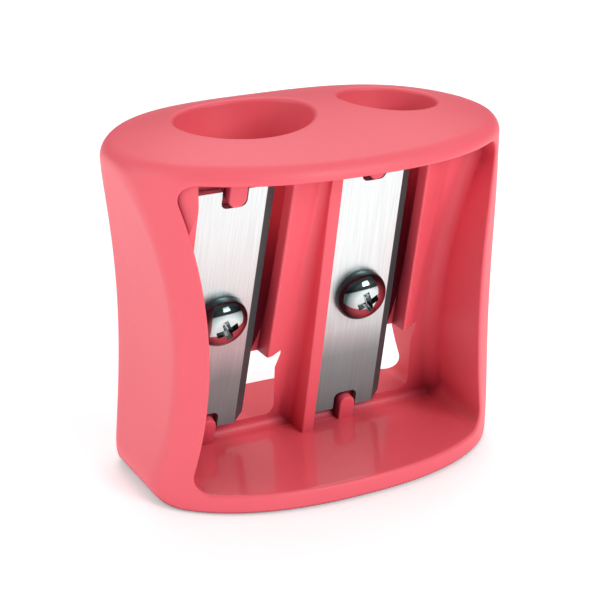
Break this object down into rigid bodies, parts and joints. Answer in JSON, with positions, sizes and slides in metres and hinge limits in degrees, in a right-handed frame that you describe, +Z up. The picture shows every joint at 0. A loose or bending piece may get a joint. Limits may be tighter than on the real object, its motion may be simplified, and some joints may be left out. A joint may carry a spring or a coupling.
{
  "type": "pencil sharpener",
  "caption": "Hand pencil sharpener: moulded drum with scooped ends, an open bay, conical pencil holes in the domed top and a screwed-down blade beside each cone.",
  "frame": {"origin": "on the flat resting face, under the middle of the body", "axes": "+X along the long side towards the small hole, +Y away from the blades, +Z up through the holes"},
  "size_m": [0.0338, 0.0228, 0.0305],
  "materials": {
    "body_plastic": "coral red moulded plastic, satin gloss",
    "blade_steel": "hardened strip, finely brushed along its length, ground bevel",
    "screw_chrome": "bright plated pan head"
  },
  "bodies": {
    "root": {"moulded_body": "body_plastic", "blade_large": "blade_steel", "blade_small": "blade_steel", "screw_large": "screw_chrome", "screw_small": "screw_chrome"}
  },
  "joints": []
}
